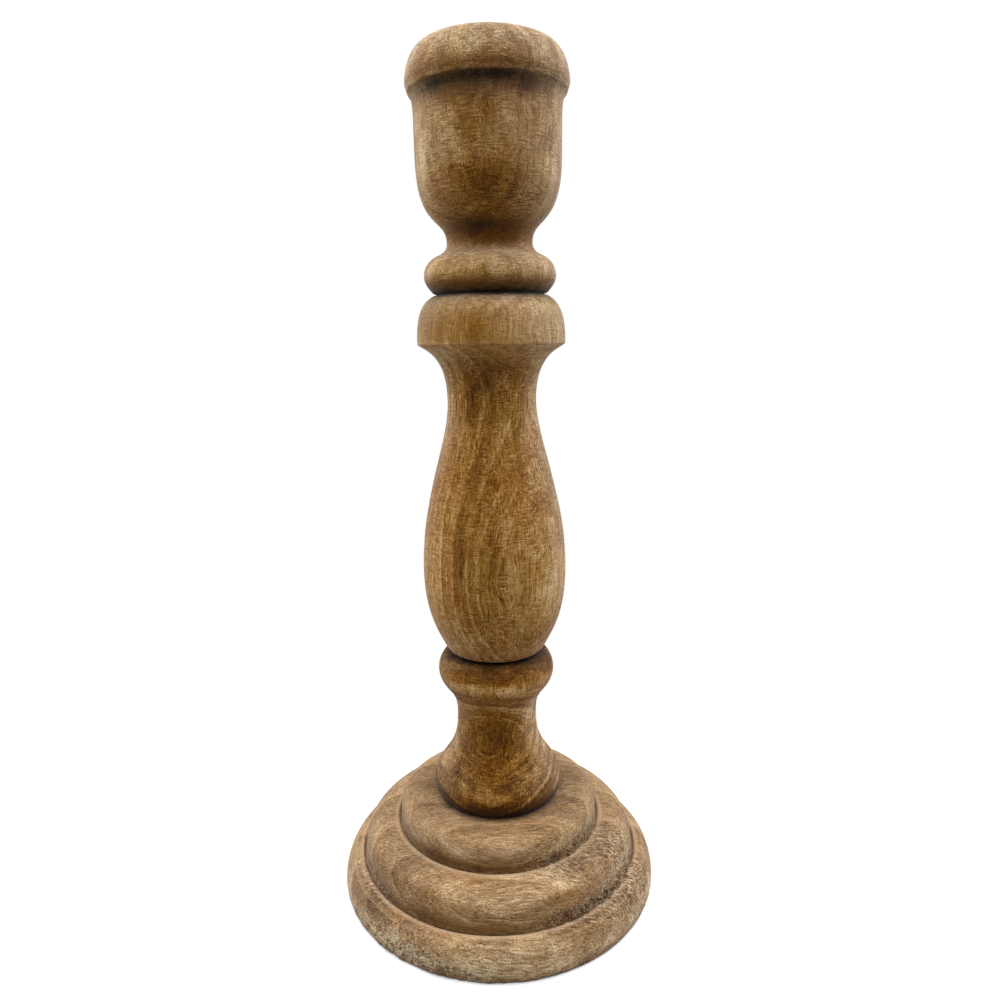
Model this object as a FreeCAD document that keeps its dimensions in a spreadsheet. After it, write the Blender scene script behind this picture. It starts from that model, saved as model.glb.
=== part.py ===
import FreeCAD, Part
import os
import re
import Sketcher
from FreeCAD import Vector

doc = FreeCAD.newDocument("PricketCandleStand")
sheet = doc.addObject("Spreadsheet::Sheet", "Sizes")

# Driving sizes in millimetres: name, value, what it is.
# Heights in a turned piece are measured from the face that the piece stands on.
sizes = [
    ("felt_thickness", 1.5, "felt disc under the foot"),
    ("felt_margin", 0.5, "how far the felt's edge lies inside the foot's sole"),
    ("sole_radius", 61.0, "foot's bottom edge"),
    ("foot_radius", 61.3, "widest part of the foot"),
    ("foot_widest_height", 1.6, "height of that widest part"),
    ("foot_height", 11.4, "sole to the foot's upper lip"),
    ("foot_lip_radius", 54.2, "foot's upper lip"),
    ("middle_height", 12.5, "rise of the middle tier"),
    ("middle_lip_radius", 39.7, "middle tier's upper lip"),
    ("upper_height", 10.9, "rise of the upper tier"),
    ("seat_radius", 24.1, "flat seat on top of the base"),
    ("tier_step", 1.2, "how far each tier's wall stands in from the lip below it"),
    ("tier_quirk", 0.4, "depth of the cut line at the foot of each tier"),
    ("stem_foot_radius", 23.6, "stem's edge on the seat"),
    ("stem_flare_radius", 24.8, "widest part of the stem's flared foot"),
    ("stem_flare_height", 4.7, "height of that flare"),
    ("stem_waist_radius", 15.25, "narrowest part of the stem"),
    ("stem_waist_height", 31.7, "height of the stem's waist"),
    ("stem_quirk_radius", 17.2, "cut line under the stem's bead"),
    ("stem_quirk_height", 40.7, "height of that cut line"),
    ("stem_bead_radius", 22.1, "stem's bead"),
    ("stem_bead_height", 50.7, "height of the bead's widest part"),
    ("stem_length", 58.7, "seat to the joint with the baluster"),
    ("lower_joint_radius", 15.5, "groove where stem and baluster meet"),
    ("spigot_radius", 14.0, "stem's spigot in the base"),
    ("spigot_length", 8.0, "length of that spigot"),
    ("heel_radius", 18.4, "baluster's heel"),
    ("heel_height", 1.0, "height of the heel"),
    ("belly_radius", 26.6, "baluster's belly"),
    ("belly_height", 32.0, "height of the belly"),
    ("baluster_waist_radius", 15.9, "baluster's narrowest part"),
    ("baluster_waist_height", 94.0, "height of that waist"),
    ("block_radius", 26.15, "sharp lower edge of the block on the baluster"),
    ("block_height", 113.9, "height of that edge"),
    ("baluster_length", 130.6, "lower joint to upper joint"),
    ("upper_joint_radius", 19.3, "groove where baluster and cup meet"),
    ("ring_radius", 22.95, "ring under the cup"),
    ("ring_height", 6.4, "height of the ring's widest part"),
    ("collet_radius", 17.25, "crease where the ring runs into the neck"),
    ("collet_height", 13.4, "height of that crease"),
    ("neck_radius", 14.8, "cup's neck"),
    ("neck_height", 17.2, "height of the neck"),
    ("bowl_radius", 24.9, "straight wall of the bowl"),
    ("bowl_height", 45.0, "height where the bowl's wall turns straight"),
    ("wall_height", 54.4, "height where that wall starts to flare into the rim"),
    ("rim_edge_radius", 26.7, "lower edge of the rim"),
    ("rim_edge_height", 64.6, "height of that edge"),
    ("rim_radius", 27.4, "widest part of the rim"),
    ("rim_height", 67.4, "height of that widest part"),
    ("crest_radius", 20.0, "where the rim's round meets its flat top"),
    ("cup_length", 78.8, "upper joint to the flat top of the rim"),
    ("recess_depth", 16.0, "hollow in the cup, under the flat top"),
    ("pan_radius", 16.3, "outside of the drip pan"),
    ("pan_lip_radius", 18.0, "pan's turned-out lip"),
    ("pan_gauge", 0.8, "thickness of the pan's sheet"),
    ("pan_bend", 2.4, "outside bend at the foot of the pan's wall"),
    ("pan_lip_bend", 0.5, "bend under the pan's lip"),
    ("pan_clearance", 0.2, "gap round the pan and under its lip"),
    ("spike_radius", 2.5, "straight part of the spike"),
    ("spike_straight", 8.0, "length of that straight part"),
    ("spike_taper", 10.3, "length of the spike's point"),
    ("spike_tip_radius", 0.3, "blunted tip"),
    ("collar_radius", 6.0, "collar that holds the pan down"),
    ("collar_thickness", 1.2, "thickness of the collar"),
    ("collar_edge", 0.3, "chamfer on the collar"),
    ("shank_radius", 2.0, "spike's shank in the wood"),
    ("shank_length", 22.0, "length of the shank below the collar"),
    ("shank_point", 3.0, "pointed end of the shank"),
    ("shank_clearance", 0.05, "gap round the shank"),
    ("dowel_radius", 5.0, "both joint dowels"),
    ("dowel_length", 40.0, "length of a dowel, half in each piece"),
    ("dowel_chamfer", 1.0, "chamfer on the ends of a dowel and the spigot"),
    ("glue_clearance", 0.1, "gap round a dowel and the spigot"),
    ("end_gap", 0.5, "gap past the end of a dowel, the spigot and the shank"),
    ("screw_radius", 2.5, "outside of the base screw's thread"),
    ("screw_length", 50.0, "base screw under its head"),
    ("screw_point", 5.0, "pointed end of the base screw"),
    ("screw_head_radius", 4.8, "base screw's round head"),
    ("screw_head_height", 3.2, "height of that head"),
    ("screw_clearance", 0.3, "gap round the screw in the base and the washer"),
    ("thread_clearance", 0.05, "gap round the thread that the screw has cut in the stem"),
    ("drive_slot_length", 4.6, "each arm of the cross recess, end to end"),
    ("drive_slot_width", 1.1, "width of an arm"),
    ("drive_slot_depth", 1.7, "depth of the cross recess"),
    ("washer_radius", 6.5, "washer under the screw's head"),
    ("washer_thickness", 1.2, "thickness of that washer"),
    ("counterbore_radius", 7.5, "counterbore in the base's sole"),
    ("counterbore_depth", 8.0, "depth of the counterbore"),
]

for row, (name, value, note) in enumerate(sizes, 1):
    sheet.set(f"A{row}", name)
    sheet.set(f"B{row}", str(value))
    sheet.set(f"C{row}", note)
    sheet.setAlias(f"B{row}", name)
doc.recompute()

# A curved stretch runs from one point to the next with a handle at each end. Its four shares give how far
# the first handle reaches along the stretch (radius, height), and how far the second reaches back.
foot_shares = (0, 0.35, 0.75, 0)
sole_shares = (0.5, 0.5, 0, 0.5)
middle_shares = (0, 0.85, 0.6, 0)
upper_shares = (0, 0.9, 1.0, 0)
heel_shares = (0.55, 0.27, 0, 0.52)
stem_roll_shares = (0.5, 0.1, 0, 0.5)
stem_flare_shares = (0, 0.31, 0, 0.64)
stem_neck_shares = (0, 0.5, 0.5, 0.1)
bead_under_shares = (0.05, 0.2, 0, 0.5)
bead_over_shares = (0, 0.5, 0.55, 0)
belly_shares = (0, 0.44, 0, 0.24)
block_under_shares = (0, 0.84, 0.2, 0.1)
block_shares = (0, 0.33, 1.0, 0.15)
ring_under_shares = (0.75, 0.43, 0, 0.33)
ring_over_shares = (0, 0.2, 0.9, 0.25)
neck_shares = (0.55, 0.25, 0, 0.5)
bowl_shares = (0, 0.33, 0, 0.84)
cove_shares = (0, 0.55, 0.65, 0.2)
rim_under_shares = (0.55, 0.15, 0, 0.4)
rim_over_shares = (0, 0.35, 0.7, 0)
screw_head_shares = (0.55, 0, 0, 0.55)

# An edge counts as the one looked for when it is off by less than this share of its radius.
same_edge_share = 1e-5

# Every handle of a curved stretch pulls alike.
even_weight = 1


def linked(formula):
    return re.sub(r"[a-z_]{2,}", lambda word: "Sizes." + word.group(0), formula)


def amount(formula):
    return float(sheet.evalExpression(formula))


def new_body(label):
    body = doc.addObject("PartDesign::Body", label)
    body.Label = label
    return body


def sketch_on(body, role, name):
    sketch = body.newObject("Sketcher::SketchObject", name)
    plane = next(item for item in body.Origin.OriginFeatures if item.Role == role)
    sketch.AttachmentSupport = [(plane, "")]
    sketch.MapMode = "FlatFace"
    return sketch


def bind(sketch, constraint, formula):
    number = sketch.addConstraint(constraint)
    name = f"size{number}"
    sketch.renameConstraint(number, name)
    sketch.setExpression("Constraints." + name, linked(formula))


# Ties one sketch point to a radius and a height, which are formulas of named sizes or "0".
def pin(sketch, geometry, vertex, radius, height):
    for kind, formula, axis in (("DistanceX", radius, -2), ("DistanceY", height, -1)):
        if formula == "0":
            sketch.addConstraint(Sketcher.Constraint("PointOnObject", geometry, vertex, axis))
        else:
            bind(sketch, Sketcher.Constraint(kind, -1, 1, geometry, vertex, amount(formula)), formula)


def part_way(start, end, share):
    return f"({start}) + {share} * (({end}) - ({start}))"


def add_curve(sketch, start, end, shares):
    first = (part_way(start[0], end[0], shares[0]), part_way(start[1], end[1], shares[1]))
    second = (part_way(end[0], start[0], shares[2]), part_way(end[1], start[1], shares[3]))
    stations = [start, first, second, end]
    poles = [Vector(amount(radius), amount(height), 0) for radius, height in stations]
    curve = Part.BSplineCurve()
    curve.buildFromPolesMultsKnots(poles, [4, 4], [0, 1], False, 3)
    stretch = sketch.addGeometry(curve, False)
    for place, pole in enumerate(poles):
        handle = sketch.addGeometry(Part.Circle(pole, Vector(0, 0, 1), even_weight), True)
        sketch.addConstraint(Sketcher.Constraint("Weight", handle, even_weight))
        role = "InternalAlignment:Sketcher::BSplineControlPoint"
        sketch.addConstraint(Sketcher.Constraint(role, handle, 3, stretch, place))
        if place > 0:
            pin(sketch, handle, 3, *stations[place])
    return stretch


def add_line(sketch, start, end):
    ends = [Vector(amount(radius), amount(height), 0) for radius, height in (start, end)]
    stretch = sketch.addGeometry(Part.LineSegment(*ends), False)
    pin(sketch, stretch, 2, *end)
    return stretch


# Draws the closed half section that runs through the given points. A point is (radius, height), with the
# shares of the curved stretch that leads to it where that stretch isn't straight.
def half_section(body, name, points):
    sketch = sketch_on(body, "XZ_Plane", name)
    stretches = []
    for start, end in zip(points, points[1:] + points[:1]):
        if len(end) == 3:
            stretches.append(add_curve(sketch, start[:2], end[:2], end[2]))
        else:
            stretches.append(add_line(sketch, start[:2], end[:2]))
    for before, after in zip(stretches[-1:] + stretches[:-1], stretches):
        sketch.addConstraint(Sketcher.Constraint("Coincident", before, 2, after, 1))
    doc.recompute()
    if sketch.solve() != 0 or not sketch.FullyConstrained:
        raise RuntimeError(f"{body.Label}: {name} isn't fully constrained")
    return sketch


def spin(body, kind, name, points):
    sketch = half_section(body, name + "Section", points)
    feature = body.newObject(kind, name)
    feature.Profile = sketch
    feature.ReferenceAxis = (sketch, ["V_Axis"])
    feature.Angle = 360
    doc.recompute()
    return feature


def turn(body, name, points):
    return spin(body, "PartDesign::Revolution", name, points)


# Bores a round hole about the axis, from one height to another.
def bore(body, name, radius, bottom, top):
    before = body.Shape.Volume
    spin(body, "PartDesign::Groove", name, [("0", bottom), (radius, bottom), (radius, top), ("0", top)])
    if body.Shape.Volume >= before:
        raise RuntimeError(f"{body.Label}: {name} cuts nothing")


def round_pad(body, name, radii, thickness):
    sketch = sketch_on(body, "XY_Plane", name + "Section")
    for radius in radii:
        circle = sketch.addGeometry(Part.Circle(Vector(0, 0, 0), Vector(0, 0, 1), amount(radius)), False)
        sketch.addConstraint(Sketcher.Constraint("Coincident", circle, 3, -1, 1))
        bind(sketch, Sketcher.Constraint("Radius", circle, amount(radius)), radius)
    pad = body.newObject("PartDesign::Pad", name)
    pad.Profile = sketch
    pad.setExpression("Length", linked(thickness))
    doc.recompute()
    return pad


# Names the circular edges of a feature that have the given radius at the given height.
def round_edges(feature, radius, height):
    names = []
    for number, edge in enumerate(feature.Shape.Edges, 1):
        if edge.Degenerated or not isinstance(edge.Curve, Part.Circle):
            continue
        off_radius = abs(edge.Curve.Radius - amount(radius))
        off_height = abs(edge.Curve.Center.z - amount(height))
        if max(off_radius, off_height) < same_edge_share * amount(radius):
            names.append(f"Edge{number}")
    return names


def dress(body, kind, name, feature, places, size, formula):
    edges = [edge for place in places for edge in round_edges(feature, *place)]
    if len(edges) < len(places):
        raise RuntimeError(f"{body.Label}: {name} found {len(edges)} edges of {len(places)}")
    dressed = body.newObject(kind, name)
    dressed.Base = (feature, edges)
    dressed.setExpression(size, linked(formula))
    doc.recompute()
    return dressed


def stand_at(body, height):
    body.setExpression("Placement.Base.z", linked(height))
    return body


base_height = "foot_height + middle_height + upper_height"
seat_level = f"felt_thickness + {base_height}"
lower_joint_level = f"{seat_level} + stem_length"
upper_joint_level = f"{lower_joint_level} + baluster_length"
dowel_reach = "dowel_length / 2 + end_gap"
dowel_bore = "dowel_radius + glue_clearance"
spigot_bore = "spigot_radius + glue_clearance"


def make_felt_pad():
    body = new_body("felt_pad")
    round_pad(body, "Disc", ["sole_radius - felt_margin"], "felt_thickness")
    return body


# The base is one board. Each tier's wall starts a step inside the lip below it, in a shallow cut line.
def make_base():
    body = new_body("base")
    middle_foot = "foot_height"
    upper_foot = "foot_height + middle_height"
    turn(body, "Tiers", [
        ("0", "0"),
        ("sole_radius", "0"),
        ("foot_radius", "foot_widest_height", sole_shares),
        ("foot_lip_radius", middle_foot, foot_shares),
        ("foot_lip_radius - tier_step", f"{middle_foot} - tier_quirk"),
        ("middle_lip_radius", upper_foot, middle_shares),
        ("middle_lip_radius - tier_step", f"{upper_foot} - tier_quirk"),
        ("seat_radius", base_height, upper_shares),
        ("0", base_height),
    ])
    socket_floor = f"{base_height} - spigot_length - end_gap"
    bore(body, "Counterbore", "counterbore_radius", "0", "counterbore_depth")
    bore(body, "ScrewHole", "screw_radius + screw_clearance", "counterbore_depth", socket_floor)
    bore(body, "SpigotSocket", spigot_bore, socket_floor, base_height)
    return stand_at(body, "felt_thickness")


# The stem is a spool with a spigot below its seat, so its spigot has negative heights.
def make_stem():
    body = new_body("stem")
    turn(body, "Spool", [
        ("0", "-spigot_length"),
        ("spigot_radius - dowel_chamfer", "-spigot_length"),
        ("spigot_radius", "dowel_chamfer - spigot_length"),
        ("spigot_radius", "0"),
        ("stem_foot_radius", "0"),
        ("stem_flare_radius", "stem_flare_height", stem_roll_shares),
        ("stem_waist_radius", "stem_waist_height", stem_flare_shares),
        ("stem_quirk_radius", "stem_quirk_height", stem_neck_shares),
        ("stem_bead_radius", "stem_bead_height", bead_under_shares),
        ("lower_joint_radius", "stem_length", bead_over_shares),
        ("0", "stem_length"),
    ])
    screw_end = f"counterbore_depth - washer_thickness + screw_length + thread_clearance - ({base_height})"
    bore(body, "ThreadHole", "screw_radius + thread_clearance", "-spigot_length", screw_end)
    bore(body, "DowelHole", dowel_bore, f"stem_length - ({dowel_reach})", "stem_length")
    return stand_at(body, seat_level)


def make_baluster():
    body = new_body("baluster")
    turn(body, "Vase", [
        ("0", "0"),
        ("lower_joint_radius", "0"),
        ("heel_radius", "heel_height"),
        ("belly_radius", "belly_height", heel_shares),
        ("baluster_waist_radius", "baluster_waist_height", belly_shares),
        ("block_radius", "block_height", block_under_shares),
        ("upper_joint_radius", "baluster_length", block_shares),
        ("0", "baluster_length"),
    ])
    bore(body, "LowerDowelHole", dowel_bore, "0", dowel_reach)
    bore(body, "UpperDowelHole", dowel_bore, f"baluster_length - ({dowel_reach})", "baluster_length")
    return stand_at(body, lower_joint_level)


recess_floor = "cup_length - recess_depth"
rebate_floor = "cup_length - pan_gauge - pan_clearance"


def make_candle_cup():
    body = new_body("candle_cup")
    turn(body, "Cup", [
        ("0", "0"),
        ("upper_joint_radius", "0"),
        ("ring_radius", "ring_height", ring_under_shares),
        ("collet_radius", "collet_height", ring_over_shares),
        ("neck_radius", "neck_height", neck_shares),
        ("bowl_radius", "bowl_height", bowl_shares),
        ("bowl_radius", "wall_height"),
        ("rim_edge_radius", "rim_edge_height", cove_shares),
        ("rim_radius", "rim_height", rim_under_shares),
        ("crest_radius", "cup_length", rim_over_shares),
        ("0", "cup_length"),
    ])
    shank_floor = f"{recess_floor} + pan_gauge - shank_length - end_gap"
    bore(body, "DowelHole", dowel_bore, "0", dowel_reach)
    bore(body, "Rebate", "pan_lip_radius + pan_clearance", rebate_floor, "cup_length")
    bore(body, "Recess", "pan_radius + pan_clearance", recess_floor, rebate_floor)
    bore(body, "ShankHole", "shank_radius + shank_clearance", shank_floor, recess_floor)
    return stand_at(body, upper_joint_level)


def make_dowel(label, middle):
    body = new_body(label)
    pin_pad = round_pad(body, "Pin", ["dowel_radius"], "dowel_length")
    ends = [("dowel_radius", "0"), ("dowel_radius", "dowel_length")]
    dress(body, "PartDesign::Chamfer", "Ends", pin_pad, ends, "Size", "dowel_chamfer")
    return stand_at(body, f"{middle} - dowel_length / 2")


# The cross recess is one slot across the crown of the head, and the same slot a quarter turn round.
def cut_cross(body):
    before = body.Shape.Volume
    sketch = sketch_on(body, "XY_Plane", "SlotSection")
    sketch.setExpression("AttachmentOffset.Base.z", linked("-screw_head_height"))
    half_length = "drive_slot_length / 2"
    half_width = "drive_slot_width / 2"
    corners = [(-1, -1), (1, -1), (1, 1), (-1, 1)]
    points = [Vector(x * amount(half_length), y * amount(half_width), 0) for x, y in corners]
    sides = []
    for start, end in zip(points, points[1:] + points[:1]):
        sides.append(sketch.addGeometry(Part.LineSegment(start, end), False))
    for before_side, side in zip(sides[-1:] + sides[:-1], sides):
        sketch.addConstraint(Sketcher.Constraint("Coincident", before_side, 2, side, 1))
    for side, direction in zip(sides, ("Horizontal", "Vertical", "Horizontal", "Vertical")):
        sketch.addConstraint(Sketcher.Constraint(direction, side))
    far_end = sides[1]
    bind(sketch, Sketcher.Constraint("DistanceX", -1, 1, far_end, 2, amount(half_length)), half_length)
    bind(sketch, Sketcher.Constraint("DistanceY", -1, 1, far_end, 2, amount(half_width)), half_width)
    sketch.addConstraint(Sketcher.Constraint("Symmetric", far_end, 2, sides[0], 1, -1, 1))
    slot = body.newObject("PartDesign::Pocket", "Slot")
    slot.Profile = sketch
    slot.Reversed = True
    slot.setExpression("Length", linked("drive_slot_depth"))
    doc.recompute()
    cross = body.newObject("PartDesign::PolarPattern", "Cross")
    cross.Originals = [slot]
    cross.Axis = (sketch, ["N_Axis"])
    cross.Angle = 90
    cross.Occurrences = 2
    body.Tip = cross
    doc.recompute()
    if not body.Shape.Volume < slot.Shape.Volume < before:
        raise RuntimeError(f"{body.Label}: the cross recess cuts nothing")


# The head's bearing face is at height 0, with the head below it and the thread above.
def make_base_screw():
    body = new_body("base_screw")
    turn(body, "Screw", [
        ("0", "-screw_head_height"),
        ("screw_head_radius", "0", screw_head_shares),
        ("screw_radius", "0"),
        ("screw_radius", "screw_length - screw_point"),
        ("0", "screw_length"),
    ])
    cut_cross(body)
    return stand_at(body, "felt_thickness + counterbore_depth - washer_thickness")


# The washer lies in the counterbore, and the screw's head bears on it from below.
def make_screw_washer():
    body = new_body("screw_washer")
    bores = ["washer_radius", "screw_radius + screw_clearance"]
    round_pad(body, "Washer", bores, "washer_thickness")
    return stand_at(body, "felt_thickness + counterbore_depth - washer_thickness")


# The pan is spun from sheet: a floor, a wall with a round bend at its foot, and a flat lip.
def make_drip_pan():
    body = new_body("drip_pan")
    inner = "pan_radius - pan_gauge"
    under_lip = "recess_depth - pan_gauge"
    pan = turn(body, "Pan", [
        ("shank_radius + pan_clearance", "0"),
        ("pan_radius", "0"),
        ("pan_radius", under_lip),
        ("pan_lip_radius", under_lip),
        ("pan_lip_radius", "recess_depth"),
        (inner, "recess_depth"),
        (inner, "pan_gauge"),
        ("shank_radius + pan_clearance", "pan_gauge"),
    ])
    outside = dress(body, "PartDesign::Fillet", "FootBend", pan, [("pan_radius", "0")], "Radius", "pan_bend")
    inside = dress(body, "PartDesign::Fillet", "InnerBend", outside, [(inner, "pan_gauge")],
                   "Radius", "pan_bend - pan_gauge")
    dress(body, "PartDesign::Fillet", "LipBend", inside, [(inner, "recess_depth")], "Radius", "pan_lip_bend")
    return stand_at(body, f"{upper_joint_level} + {recess_floor}")


# The spike's collar sits on the pan's floor and its shank goes down into the cup.
def make_pricket():
    body = new_body("pricket")
    point_foot = "collar_thickness + spike_straight"
    spike = turn(body, "Spike", [
        ("0", "-shank_length"),
        ("shank_radius", "shank_point - shank_length"),
        ("shank_radius", "0"),
        ("collar_radius", "0"),
        ("collar_radius", "collar_thickness"),
        ("spike_radius", "collar_thickness"),
        ("spike_radius", point_foot),
        ("spike_tip_radius", f"{point_foot} + spike_taper"),
        ("0", f"{point_foot} + spike_taper"),
    ])
    dress(body, "PartDesign::Chamfer", "CollarEdge", spike, [("collar_radius", "collar_thickness")],
          "Size", "collar_edge")
    return stand_at(body, f"{upper_joint_level} + {recess_floor} + pan_gauge")


bodies = [
    make_felt_pad(),
    make_base(),
    make_base_screw(),
    make_screw_washer(),
    make_stem(),
    make_dowel("lower_dowel", lower_joint_level),
    make_baluster(),
    make_dowel("upper_dowel", upper_joint_level),
    make_candle_cup(),
    make_drip_pan(),
    make_pricket(),
]
doc.recompute()

for item in doc.Objects:
    if "Invalid" in item.State or "Error" in item.State:
        raise RuntimeError(f"{item.Label} is {item.State}")
for body in bodies:
    shape = body.Shape
    if shape.isNull() or not shape.isValid() or len(shape.Solids) != 1:
        raise RuntimeError(f"{body.Label} isn't one valid solid")
    box = shape.BoundBox
    print(f"{body.Label:13} {shape.Volume:10.1f} mm3, z {box.ZMin:7.2f} to {box.ZMax:7.2f}, width {box.XLength:.2f}")

os.makedirs("parts", exist_ok=True)
for body in bodies:
    body.Shape.exportStep(f"parts/{body.Label}.step")
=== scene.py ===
import math
import random

import bmesh
import bpy
from mathutils import Matrix, Vector, noise
from mathutils.geometry import interpolate_bezier


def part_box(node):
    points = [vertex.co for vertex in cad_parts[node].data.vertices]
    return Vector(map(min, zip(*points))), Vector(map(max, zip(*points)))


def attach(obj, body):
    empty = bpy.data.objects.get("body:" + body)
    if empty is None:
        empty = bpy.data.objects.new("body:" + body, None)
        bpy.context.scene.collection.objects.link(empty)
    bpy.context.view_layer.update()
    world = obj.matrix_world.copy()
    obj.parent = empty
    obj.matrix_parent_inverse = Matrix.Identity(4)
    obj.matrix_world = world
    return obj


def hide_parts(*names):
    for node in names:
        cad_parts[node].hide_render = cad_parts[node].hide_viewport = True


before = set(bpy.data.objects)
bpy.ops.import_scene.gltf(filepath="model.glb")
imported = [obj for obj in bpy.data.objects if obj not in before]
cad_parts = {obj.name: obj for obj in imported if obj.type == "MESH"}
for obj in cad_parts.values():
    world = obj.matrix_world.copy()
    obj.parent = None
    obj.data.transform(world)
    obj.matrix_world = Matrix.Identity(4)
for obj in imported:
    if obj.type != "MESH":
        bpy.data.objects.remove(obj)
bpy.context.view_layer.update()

mm = 0.001
up = Vector((0, 0, 1))
print("frame loaded:", ", ".join(sorted(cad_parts)))


# shader maths: a wire is one socket, and an expression on wires adds its Math nodes

class Wire:
    def __init__(self, finish, socket):
        self.finish = finish
        self.socket = socket

    def maths(self, operation, *others):
        inputs = dict(enumerate((self,) + others))
        return self.finish.add("ShaderNodeMath", {"operation": operation}, inputs)

    def flipped(self, operation, other):
        return self.finish.add("ShaderNodeMath", {"operation": operation}, {0: other, 1: self})

    def __add__(self, other):
        return self.maths("ADD", other)

    def __radd__(self, other):
        return self.flipped("ADD", other)

    def __sub__(self, other):
        return self.maths("SUBTRACT", other)

    def __rsub__(self, other):
        return self.flipped("SUBTRACT", other)

    def __mul__(self, other):
        return self.maths("MULTIPLY", other)

    def __rmul__(self, other):
        return self.flipped("MULTIPLY", other)

    def __truediv__(self, other):
        return self.maths("DIVIDE", other)

    def __rtruediv__(self, other):
        return self.flipped("DIVIDE", other)

    def __pow__(self, other):
        return self.maths("POWER", other)

    def __rpow__(self, other):
        return self.flipped("POWER", other)

    def __neg__(self):
        return self.flipped("SUBTRACT", 0)

    def __abs__(self):
        return self.maths("ABSOLUTE")


# the nodes of one material, or of the world

class Finish:
    def __init__(self, name, store="materials"):
        self.owner = getattr(bpy.data, store).new(name)
        self.owner.use_nodes = True
        self.tree = self.owner.node_tree
        self.tree.nodes.clear()

    def add(self, kind, settings=None, inputs=None, output=0):
        node = self.tree.nodes.new(kind)
        for name, value in (settings or {}).items():
            if name == "stops":
                setStops(node.color_ramp, value)
            else:
                setattr(node, name, value)
        for name, value in (inputs or {}).items():
            if isinstance(value, Wire):
                self.tree.links.new(value.socket, node.inputs[name])
            else:
                node.inputs[name].default_value = value
        return Wire(self, node.outputs[output]) if len(node.outputs) else node

    def vector(self, x, y, z):
        return self.add("ShaderNodeCombineXYZ", None, {"X": x, "Y": y, "Z": z})

    def axes(self, vector):
        node = self.add("ShaderNodeSeparateXYZ", None, {"Vector": vector}).socket.node
        return [Wire(self, socket) for socket in node.outputs]

    def move(self, operation, *inputs, output=0):
        return self.add("ShaderNodeVectorMath", {"operation": operation}, dict(enumerate(inputs)), output)

    def scaled(self, vector, share):
        return self.add("ShaderNodeVectorMath", {"operation": "SCALE"}, {0: vector, "Scale": share})

    def dot(self, first, second):
        return self.move("DOT_PRODUCT", first, second, output="Value")

    def noise(self, place, scale, detail=2.0, roughness=0.5):
        inputs = {"Vector": place, "Scale": scale, "Detail": detail, "Roughness": roughness}
        return self.add("ShaderNodeTexNoise", {"noise_dimensions": "3D"}, inputs)

    def between(self, value, low, high, toLow=0.0, toHigh=1.0):
        inputs = {"Value": value, "From Min": low, "From Max": high, "To Min": toLow, "To Max": toHigh}
        return self.add("ShaderNodeMapRange", {"interpolation_type": "SMOOTHSTEP"}, inputs)

    def ramp(self, value, stops):
        return self.add("ShaderNodeValToRGB", {"stops": stops}, {"Fac": value})

    def blend(self, share, first, second, kind="MIX"):
        settings = {"data_type": "RGBA", "blend_type": kind, "clamp_factor": True}
        return self.add("ShaderNodeMix", settings, {0: share, 6: first, 7: second}, output=2)

    def attribute(self, name):
        return self.add("ShaderNodeAttribute", {"attribute_name": name}, output="Fac")

    def place(self):
        # Object coordinates, in mm
        spot = self.add("ShaderNodeTexCoord", output="Object")
        return self.scaled(spot, 1 / mm)

    def surface(self, colour, roughness, height=None, relief=0.1, **constants):
        inputs = {"Base Color": colour, "Roughness": roughness}
        if height is not None:
            raised = {"Height": height, "Distance": relief * mm}
            inputs["Normal"] = self.add("ShaderNodeBump", None, raised)
        inputs.update({name.replace("_", " "): value for name, value in constants.items()})
        shader = self.add("ShaderNodeBsdfPrincipled", None, inputs)
        self.add("ShaderNodeOutputMaterial", None, {"Surface": shader})
        return self.owner


def setStops(ramp, stops):
    while len(ramp.elements) > 1:
        ramp.elements.remove(ramp.elements[-1])
    ramp.elements[0].position, ramp.elements[0].color = stops[0]
    for position, colour in stops[1:]:
        ramp.elements.new(position).color = colour


def tint(code):
    # an sRGB hex code as a linear colour
    parts = [int(code[i:i + 2], 16) / 255 for i in (0, 2, 4)]
    linear = [p / 12.92 if p <= 0.04045 else ((p + 0.055) / 1.055) ** 2.4 for p in parts]
    return tuple(linear) + (1,)


def tints(*stops):
    return [(position, tint(code)) for position, code in stops]


# camera, at the photograph's angle: low over the foot, so that the rim is seen from just below

view = {
    "distance": 277.7, "height": 211.2,  # mm in front of the axis and above the floor
    "pitch": -11.99, "yaw": -0.486, "roll": -0.79,  # degrees
    "lens": 27.61, "sensor": 36,
}


def makeCamera():
    data = bpy.data.cameras.new("camera")
    data.sensor_width = view["sensor"]
    data.lens = view["lens"]
    camera = bpy.data.objects.new("camera", data)
    bpy.context.scene.collection.objects.link(camera)
    turn = Matrix.Rotation(math.radians(view["yaw"]), 4, "Z")
    tip = Matrix.Rotation(math.radians(90 + view["pitch"]), 4, "X")
    lean = Matrix.Rotation(math.radians(view["roll"]), 4, "Z")
    spot = Matrix.Translation(Vector((0, -view["distance"], view["height"])) * mm)
    camera.matrix_world = spot @ turn @ tip @ lean
    bpy.context.scene.camera = camera


makeCamera()
print("camera placed")


# turned shapes: an outline holds (radius, height) in mm. The line to a point is straight, cut up by "step",
# unless a third part says otherwise: a number of straight parts, or four shares of the way that bend it,
# outwards and upwards at its start and then at its end.

weld = 0.004  # mm, points closer than this are joined


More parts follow.
